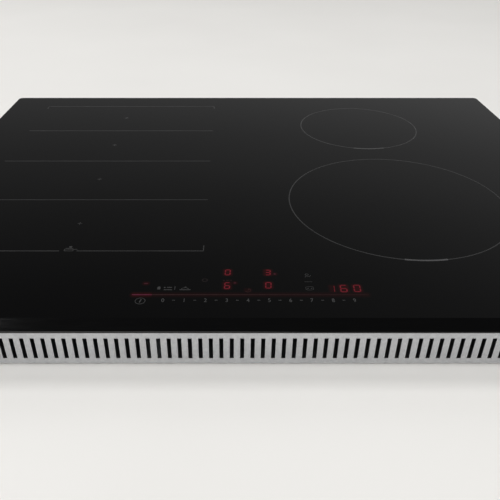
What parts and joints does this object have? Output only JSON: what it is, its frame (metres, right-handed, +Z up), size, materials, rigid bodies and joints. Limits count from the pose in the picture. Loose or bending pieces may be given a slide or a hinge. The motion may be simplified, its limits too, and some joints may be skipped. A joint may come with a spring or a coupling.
{
  "type": "induction hob",
  "caption": "Frameless built-in induction hob: black glass plate with a flexible zone, round zones and a touch strip over a slotted steel tray with coils, power boards, fans and worktop clamps.",
  "frame": {"origin": "centre of the hob in plan, on the underside of its seal, which is the worktop's surface", "axes": "+X towards the user's right, +Y away from the user, +Z up out of the worktop"},
  "size_m": [0.664, 0.522, 0.0545],
  "materials": {
    "black_glass": "polished",
    "enamel_print": "satin",
    "foam_seal": "matte",
    "silicone": "satin",
    "galvanised_sheet": "satin",
    "steel_fastener": "polished",
    "plate_aluminium": "satin",
    "deck_aluminium": "brushed",
    "heat_sink_aluminium": "satin",
    "copper_litz": "satin",
    "carrier_plastic": "matte",
    "ferrite": "matte",
    "spring_steel": "satin",
    "mica": "satin",
    "sensor_ceramic": "matte",
    "lead_sleeve": "matte",
    "board_plastic": "matte",
    "circuit_board": "satin",
    "components": "matte",
    "filter_parts": "matte",
    "fan_plastic": "matte",
    "terminal_plastic": "matte",
    "hood_plastic": "matte",
    "brass_terminal": "satin",
    "bushing_rubber": "matte",
    "display_plastic": "gloss",
    "ribbon": "satin"
  },
  "bodies": {
    "housing": {"board_trays": "board_plastic", "bonding_silicone": "silicone", "bottom_tray": "galvanised_sheet", "cable_bushing": "bushing_rubber", "cable_clamp": "terminal_plastic", "clamp_brackets": "galvanised_sheet", "coil_deck": "deck_aluminium", "coil_leads": "lead_sleeve", "coil_springs": "spring_steel", "control_board": "circuit_board", "control_carrier": "hood_plastic", "control_print": "enamel_print", "cross_rails": "galvanised_sheet", "deck_posts": "spring_steel", "display_modules": "display_plastic", "fan_housing_left": "fan_plastic", "fan_housing_right": "fan_plastic", "ferrite_bars": "ferrite", "filter_board": "circuit_board", "filter_components": "filter_parts", "flex_carriers": "carrier_plastic", "flex_windings": "copper_litz", "front_winding": "copper_litz", "glass_plate": "black_glass", "heat_sink_left": "heat_sink_aluminium", "heat_sink_right": "heat_sink_aluminium", "mica_sheets": "mica", "power_board_left": "circuit_board", "power_board_right": "circuit_board", "power_components_left": "components", "power_components_right": "components", "rating_plate": "plate_aluminium", "rear_winding": "copper_litz", "ribbon_cable": "ribbon", "round_carriers": "carrier_plastic", "seal_gasket": "foam_seal", "side_rails": "galvanised_sheet", "temperature_sensors": "sensor_ceramic", "terminal_block": "terminal_plastic", "terminal_box": "hood_plastic", "terminal_screws": "brass_terminal", "touch_springs": "spring_steel", "tray_screws": "steel_fastener", "zone_print": "enamel_print"},
    "fan_left": {"fan_impeller_left": "fan_plastic"},
    "fan_right": {"fan_impeller_right": "fan_plastic"},
    "terminal_cover": {"terminal_cover": "hood_plastic"},
    "clamp_screw_right_rear": {"clamp_screw_right_rear": "steel_fastener"},
    "clamp_nut_right_rear": {"clamp_nut_right_rear": "brass_terminal"},
    "clamp_claw_right_rear": {"clamp_claw_right_rear": "spring_steel"},
    "clamp_screw_right_front": {"clamp_screw_right_front": "steel_fastener"},
    "clamp_nut_right_front": {"clamp_nut_right_front": "brass_terminal"},
    "clamp_claw_right_front": {"clamp_claw_right_front": "spring_steel"},
    "clamp_screw_left_front": {"clamp_screw_left_front": "steel_fastener"},
    "clamp_nut_left_front": {"clamp_nut_left_front": "brass_terminal"},
    "clamp_claw_left_front": {"clamp_claw_left_front": "spring_steel"},
    "clamp_screw_left_rear": {"clamp_screw_left_rear": "steel_fastener"},
    "clamp_nut_left_rear": {"clamp_nut_left_rear": "brass_terminal"},
    "clamp_claw_left_rear": {"clamp_claw_left_rear": "spring_steel"}
  },
  "joints": [
    {"name": "fan_spin_left", "type": "hinge", "parent": "housing", "child": "fan_left", "pos_m": [-0.175, 0.18, -0.034], "axis": [0, 0, 1], "continuous": true},
    {"name": "fan_spin_right", "type": "hinge", "parent": "housing", "child": "fan_right", "pos_m": [0.165, 0.18, -0.034], "axis": [0, 0, 1], "continuous": true},
    {"name": "terminal_cover_swing", "type": "hinge", "parent": "housing", "child": "terminal_cover", "pos_m": [-0.01, 0.171, -0.0446], "axis": [-1, 0, 0], "range_deg": [0, 95]},
    {"name": "screw_turn_right_rear", "type": "hinge", "parent": "housing", "child": "clamp_screw_right_rear", "pos_m": [0.3092, 0.17, -0.0255], "axis": [0, 0, 1], "range_deg": [0, 9001]},
    {"name": "nut_climb_right_rear", "type": "slide", "parent": "housing", "child": "clamp_nut_right_rear", "axis": [0, 0, 1], "range_m": [0, 0.02]},
    {"name": "claw_swing_right_rear", "type": "hinge", "parent": "clamp_nut_right_rear", "child": "clamp_claw_right_rear", "pos_m": [0.3092, 0.17, -0.0416], "axis": [0, 0, 1], "range_deg": [0, 90]},
    {"name": "screw_turn_right_front", "type": "hinge", "parent": "housing", "child": "clamp_screw_right_front", "pos_m": [0.3092, -0.17, -0.0255], "axis": [0, 0, 1], "range_deg": [0, 9001]},
    {"name": "nut_climb_right_front", "type": "slide", "parent": "housing", "child": "clamp_nut_right_front", "axis": [0, 0, 1], "range_m": [0, 0.02]},
    {"name": "claw_swing_right_front", "type": "hinge", "parent": "clamp_nut_right_front", "child": "clamp_claw_right_front", "pos_m": [0.3092, -0.17, -0.0416], "axis": [0, 0, 1], "range_deg": [0, 90]},
    {"name": "screw_turn_left_front", "type": "hinge", "parent": "housing", "child": "clamp_screw_left_front", "pos_m": [-0.3092, -0.17, -0.0255], "axis": [0, 0, 1], "range_deg": [0, 9001]},
    {"name": "nut_climb_left_front", "type": "slide", "parent": "housing", "child": "clamp_nut_left_front", "axis": [0, 0, 1], "range_m": [0, 0.02]},
    {"name": "claw_swing_left_front", "type": "hinge", "parent": "clamp_nut_left_front", "child": "clamp_claw_left_front", "pos_m": [-0.3092, -0.17, -0.0416], "axis": [0, 0, 1], "range_deg": [0, 90]},
    {"name": "screw_turn_left_rear", "type": "hinge", "parent": "housing", "child": "clamp_screw_left_rear", "pos_m": [-0.3092, 0.17, -0.0255], "axis": [0, 0, 1], "range_deg": [0, 9001]},
    {"name": "nut_climb_left_rear", "type": "slide", "parent": "housing", "child": "clamp_nut_left_rear", "axis": [0, 0, 1], "range_m": [0, 0.02]},
    {"name": "claw_swing_left_rear", "type": "hinge", "parent": "clamp_nut_left_rear", "child": "clamp_claw_left_rear", "pos_m": [-0.3092, 0.17, -0.0416], "axis": [0, 0, 1], "range_deg": [0, 90]}
  ],
  "couplings": [
    {"joint": "screw_turn_right_rear", "follows": "nut_climb_right_rear", "rad_per_m": 7854},
    {"joint": "screw_turn_right_front", "follows": "nut_climb_right_front", "rad_per_m": 7854},
    {"joint": "screw_turn_left_front", "follows": "nut_climb_left_front", "rad_per_m": 7854},
    {"joint": "screw_turn_left_rear", "follows": "nut_climb_left_rear", "rad_per_m": 7854}
  ]
}
